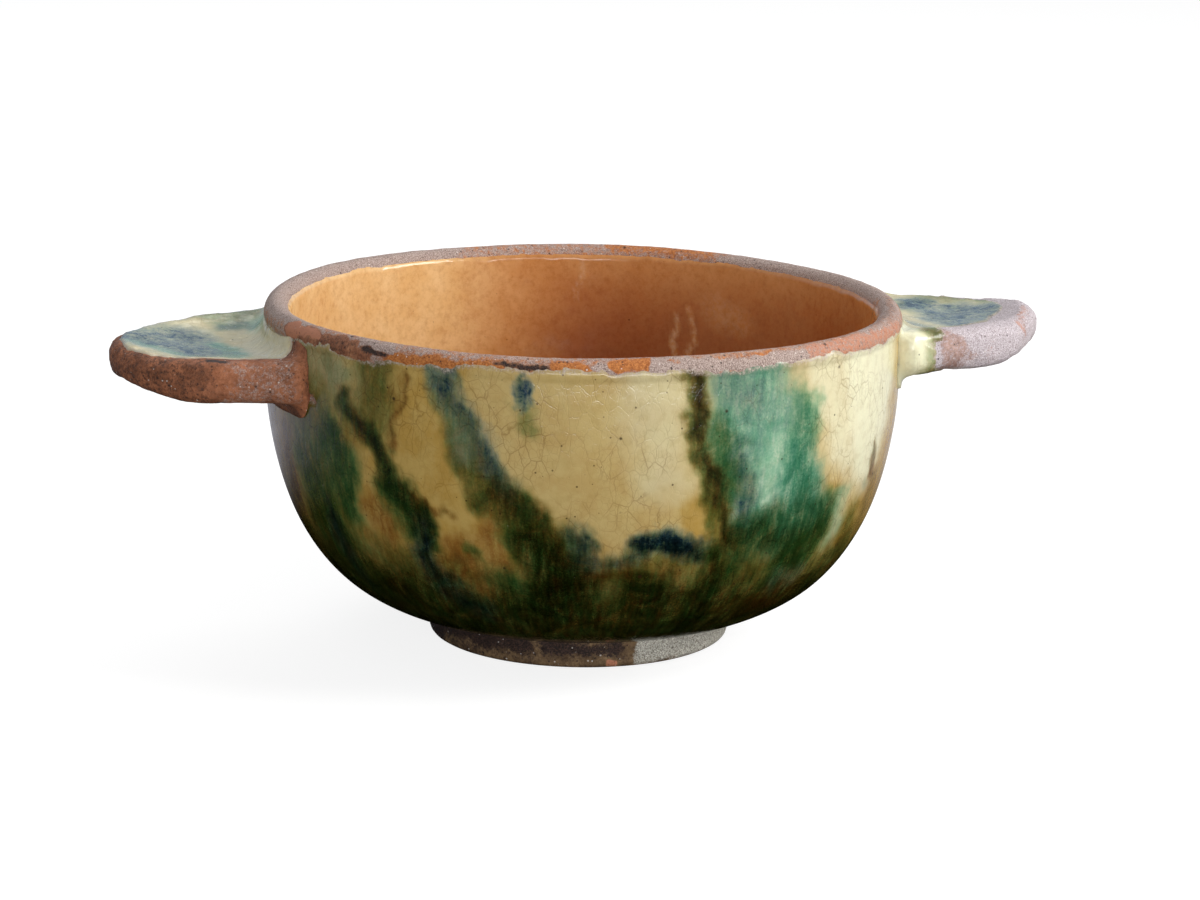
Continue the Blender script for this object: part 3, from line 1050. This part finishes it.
RIGHT_EDGE = [
    ("pale_ash", 5, 0.85, [(72, 22, 8), (82, 20, 8), (92, 8, 8), (94, -6, 8)]),
    ("pink", 3, 0.8, [(78, 24, 4), (84, 22, 4)]),
    ("brown", 4, 0.6, [(70, 24, 5), (76, 25, 4)]),
    ("red", 3, 0.5, [(88, 14, 4), (92, 4, 3)]),
]

# Width of bare clay inside the rim of each lug's dish, as (degrees round the lug from its tip, width)
LEFT_BARE = [(-180, -4), (-120, -4), (-60, -2.2), (0, -1.2), (40, -0.6), (70, 0.5), (95, 2.6),
             (120, 2), (180, -4)]
RIGHT_BARE = [(-180, -4), (-110, 3.5), (-90, 5.5), (-60, 5), (-30, 5), (0, 3.2), (30, 0.6),
              (90, -0.8), (180, -4)]


def lug_pieces(name, side, drops, seed, edge_strokes, top_strokes, bare_width, root_reach):
    """A lug of bare clay and the coat of glaze that lies over its dish and its root."""
    rings, normals, beyond, (dish_z, under_z) = lug_shape(drops, seed)
    turn = np.degrees(np.arctan2(rings[..., 1], rings[..., 0] - DISH_X))
    world = rings if side > 0 else half_turn(rings)
    to_front = -world[..., 1]
    places = np.stack([rings[..., 0].ravel(), to_front.ravel()], 1)
    flat = rings.reshape(-1, 3)
    wander = np.stack([lumps(flat, 5, seed + 21, 4), lumps(flat, 5, seed + 31, 4)], 1)
    places = places + 1.1 * wander
    shape = beyond.shape
    start = "brown" if side < 0 else "ash"
    tones = paint(places, CLAY_PAINTS[start], edge_strokes, CLAY_PAINTS, round_bowl=False)
    tones = tones.reshape(*shape, 4)
    top_middle = np.array([DISH_X, 0, dish_z - 0.12])
    under_middle = np.array([DISH_X, 0, under_z + 0.1])
    if side < 0:
        top_middle, under_middle = half_turn(top_middle), half_turn(under_middle)
    clay = ring_mesh(name, world, start=top_middle, end=under_middle, layers={"tones": tones})
    bare = np.interp(turn, *np.array(bare_width).T)
    ragged = (0.7 * lumps(flat, 4, seed + 41, 3) + 0.4 * lumps(flat, 1.4, seed + 42, 3)).reshape(shape)
    inside = -beyond - bare + ragged
    from_root = root_reach - np.hypot(rings[..., 0], rings[..., 1]) + 3.2 * ragged
    inside = np.maximum(inside, np.minimum(from_root, 14 - beyond))
    lift = -SUNK + (GLAZE_T * 0.75 + SUNK) * smoothstep(-0.25, 0.5, inside)
    outward = normals if side > 0 else half_turn(normals)
    last = np.searchsorted(beyond[:, 0], 22)
    outer = (world + outward * lift[..., None])[:last]
    outer[..., 0] = np.clip(outer[..., 0], -(LUG_REACH - 0.01), LUG_REACH - 0.01)
    inner = (world - outward * SKIN_DEPTH)[:last]
    inner = inner[::-3]
    coat = np.concatenate([outer, inner])
    stains = paint(places, GLAZE_PAINTS["pale"], top_strokes, GLAZE_PAINTS, round_bowl=False)
    stains = stains.reshape(*shape, 4)[:last]
    wear = smoothstep(0.9, 0.1, inside)[:last]
    flow = np.concatenate([outer, inner])
    up = np.array([0, 0, 1])
    layers = {"stains": np.concatenate([stains, stains[::-3]]), "wear": np.concatenate([wear, wear[::-3]]),
              "flow": flow}
    glaze = ring_mesh(name + "_coat", coat, start=top_middle + up * GLAZE_T * 0.75,
                      end=top_middle - up * SKIN_DEPTH, layers=layers)
    return clay, glaze


# Making the pieces and dressing them

marble = glaze_material("marbled_glaze", 0.12, 0.42)
lug_glaze = glaze_material("lug_glaze", 0.16, 0.25)
lip_clay = clay_material("bare_clay", srgb(186, 128, 92), srgb(148, 94, 66), 0.45)
left_clay = clay_material("left_lug_clay", srgb(182, 116, 80), srgb(138, 86, 58), 0.6)
right_clay = clay_material("right_lug_clay", srgb(190, 158, 148), srgb(152, 120, 112), 0.5,
                           srgb(146, 130, 132), srgb(224, 216, 222))
foot_clay = clay_material("foot_clay", srgb(150, 122, 88), srgb(92, 70, 48), 0.6,
                          srgb(112, 102, 88), srgb(232, 230, 218))
orange = orange_material("orange_glaze")

coat = marbled_coat()
body = thrown_body()
inside_coat = orange_coat()
foot = turned_foot()
left_lug, left_coat = lug_pieces("left_handle", -1, LEFT_DROPS, 101, LEFT_EDGE, LEFT_TOP, LEFT_BARE, 60)
right_lug, right_coat = lug_pieces("right_handle", 1, RIGHT_DROPS, 151, RIGHT_EDGE, RIGHT_TOP,
                                   RIGHT_BARE, 72)

for piece, node, slot, finish in (
        (body, "clay_body", "bare_clay", lip_clay),
        (foot, "foot_ring", "foot_clay", foot_clay),
        (left_lug, "left_lug", "lug_clay", left_clay),
        (right_lug, "right_lug", "lug_clay", right_clay),
        (coat, "outer_glaze", "marbled_glaze", marble),
        (inside_coat, "inner_glaze", "orange_glaze", orange),
        (left_coat, "left_lug_glaze", "lug_glaze", lug_glaze),
        (right_coat, "right_lug_glaze", "lug_glaze", lug_glaze)):
    piece.data.materials.append(finish)
    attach(piece, "root")
    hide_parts(node)


# The floor, which looks white and keeps the bowl's soft shadow. Seen in the glaze it is a plain
# table that is darker close to the bowl, so the underside of the bowl stays dark.

def floor():
    s = Shader("floor")
    paths = s.add("ShaderNodeLightPath")
    seen = s.add("ShaderNodeAddShader")
    s.put(seen.inputs[0], s.add("ShaderNodeBsdfDiffuse", {"Color": (0.3, 0.3, 0.3, 1)}).outputs[0])
    s.put(seen.inputs[1], s.add("ShaderNodeEmission", {"Strength": 0.84}).outputs[0])
    table = s.add("ShaderNodeBsdfDiffuse", {"Color": (0.2, 0.19, 0.18, 1)})
    away = s.add("ShaderNodeVectorMath", {0: s.place}, operation="LENGTH").outputs["Value"]
    behind = s.add("ShaderNodeVectorMath", {0: s.place, 1: tuple(toward_back)}, operation="DOT_PRODUCT")
    behind = behind.outputs["Value"]
    bright = s.math("MULTIPLY", s.step(away, 0.09, 0.2), s.step(behind, -0.06, 0.08, 0.12, 1.0))
    bright = s.math("MULTIPLY", bright, 0.55)
    mirrored = s.add("ShaderNodeEmission", {"Color": (0.86, 0.88, 1.0, 1), "Strength": bright})
    other = s.add("ShaderNodeMixShader", {
        0: paths.outputs["Is Glossy Ray"], 1: table.outputs[0], 2: mirrored.outputs[0]})
    final = s.add("ShaderNodeMixShader", {
        0: paths.outputs["Is Camera Ray"], 1: other.outputs[0], 2: seen.outputs[0]})
    s.put(s.output.inputs["Surface"], final.outputs[0])
    mesh = bpy.data.meshes.new("floor")
    half = 3.0
    corners = [(-half, -half, 0), (half, -half, 0), (half, half, 0), (-half, half, 0)]
    mesh.from_pydata(corners, [], [(0, 1, 2, 3)])
    piece = bpy.data.objects.new("floor", mesh)
    piece.location.z = -0.0001
    mesh.materials.append(s.material)
    bpy.context.scene.collection.objects.link(piece)


def direction(angle, elevation):
    """The way from the bowl to a place at an angle round it and an elevation, both in degrees."""
    a, e = world_angle(angle), math.radians(elevation)
    return Vector((math.cos(a) * math.cos(e), math.sin(a) * math.cos(e), math.sin(e)))


toward_back = direction(180, 0)
floor()


def lamp(name, angle, elevation, distance, width, height, level, color=(1, 1, 1)):
    """A soft panel that aims at the bowl. At level 1 a white card that faced it would render white."""
    data = bpy.data.lights.new(name, "AREA")
    data.shape = "RECTANGLE"
    data.size, data.size_y = width, height
    data.energy = level * math.pi ** 2 * distance ** 2
    data.color = color
    piece = bpy.data.objects.new(name, data)
    aim = Vector((0, 0, BOWL_H * MM / 2))
    piece.location = aim + direction(angle, elevation) * distance
    piece.rotation_euler = (piece.location - aim).to_track_quat("Z", "Y").to_euler()
    bpy.context.scene.collection.objects.link(piece)
    return piece


lamp("window", 82, 32, 1.0, 0.45, 0.45, 0.85, (1.0, 0.985, 0.95))
lamp("front_fill", 14, 5, 1.2, 1.1, 0.35, 0.62, (0.98, 0.99, 1.0))
lamp("back_fill", 205, 62, 1.2, 0.8, 0.8, 0.32)


def world():
    """White behind the bowl for the camera and for reflections, and a plain dim level for light."""
    room = bpy.data.worlds.new("studio")
    bpy.context.scene.world = room
    room.use_nodes = True
    tree = room.node_tree
    tree.nodes.clear()
    output = tree.nodes.new("ShaderNodeOutputWorld")
    paths = tree.nodes.new("ShaderNodeLightPath")
    place = tree.nodes.new("ShaderNodeTexCoord")
    behind = tree.nodes.new("ShaderNodeVectorMath")
    behind.operation = "DOT_PRODUCT"
    tree.links.new(place.outputs["Generated"], behind.inputs[0])
    behind.inputs[1].default_value = toward_back
    level = tree.nodes.new("ShaderNodeMapRange")
    level.interpolation_type = "SMOOTHSTEP"
    tree.links.new(behind.outputs["Value"], level.inputs["Value"])
    for key, value in (("From Min", -0.4), ("From Max", 0.4), ("To Min", 0.12), ("To Max", 0.62)):
        level.inputs[key].default_value = value

    def background(color, strength):
        node = tree.nodes.new("ShaderNodeBackground")
        node.inputs["Color"].default_value = (*color, 1)
        if isinstance(strength, bpy.types.NodeSocket):
            tree.links.new(strength, node.inputs["Strength"])
        else:
            node.inputs["Strength"].default_value = strength
        return node.outputs[0]

    def choose(factor, a, b):
        node = tree.nodes.new("ShaderNodeMixShader")
        for socket, value in zip(node.inputs, (factor, a, b)):
            tree.links.new(value, socket)
        return node.outputs[0]

    light = background((0.97, 0.985, 1.0), 0.34)
    mirrored = background((0.66, 0.82, 1.0), level.outputs[0])
    white = background((1, 1, 1), 1.0)
    surface = choose(paths.outputs["Is Glossy Ray"], light, mirrored)
    surface = choose(paths.outputs["Is Transmission Ray"], surface, white)
    surface = choose(paths.outputs["Is Camera Ray"], surface, white)
    tree.links.new(surface, output.inputs["Surface"])


world()


# The camera, at the photograph's distance and height

CAMERA_AWAY = 720.3
CAMERA_DOWN = 13.1
CAMERA_ROLL = 1.0
CAMERA_AIM = (3.85, 37.6)
FOCAL_PIXELS = 3520
IMAGE_WIDTH = 1200


def camera():
    data = bpy.data.cameras.new("camera")
    data.sensor_width = 36
    data.lens = 36 * FOCAL_PIXELS / IMAGE_WIDTH
    data.clip_start = 0.01
    data.clip_end = 20
    piece = bpy.data.objects.new("camera", data)
    down = math.radians(CAMERA_DOWN)
    turn = Matrix.Rotation(math.radians(-TURN), 3, "Z")
    right = turn @ Vector((1, 0, 0))
    forward = turn @ Vector((0, math.cos(down), -math.sin(down)))
    up = right.cross(forward)
    roll = math.radians(CAMERA_ROLL)
    right, up = right * math.cos(roll) + up * math.sin(roll), up * math.cos(roll) - right * math.sin(roll)
    across, height = CAMERA_AIM
    place = turn @ Vector((across, -CAMERA_AWAY * math.cos(down), height + CAMERA_AWAY * math.sin(down)))
    rotation = Matrix((right, up, -forward)).transposed()
    piece.matrix_world = Matrix.Translation(place * MM) @ rotation.to_4x4()
    bpy.context.scene.collection.objects.link(piece)
    bpy.context.scene.camera = piece


camera()
bpy.context.scene.view_settings.view_transform = "Standard"
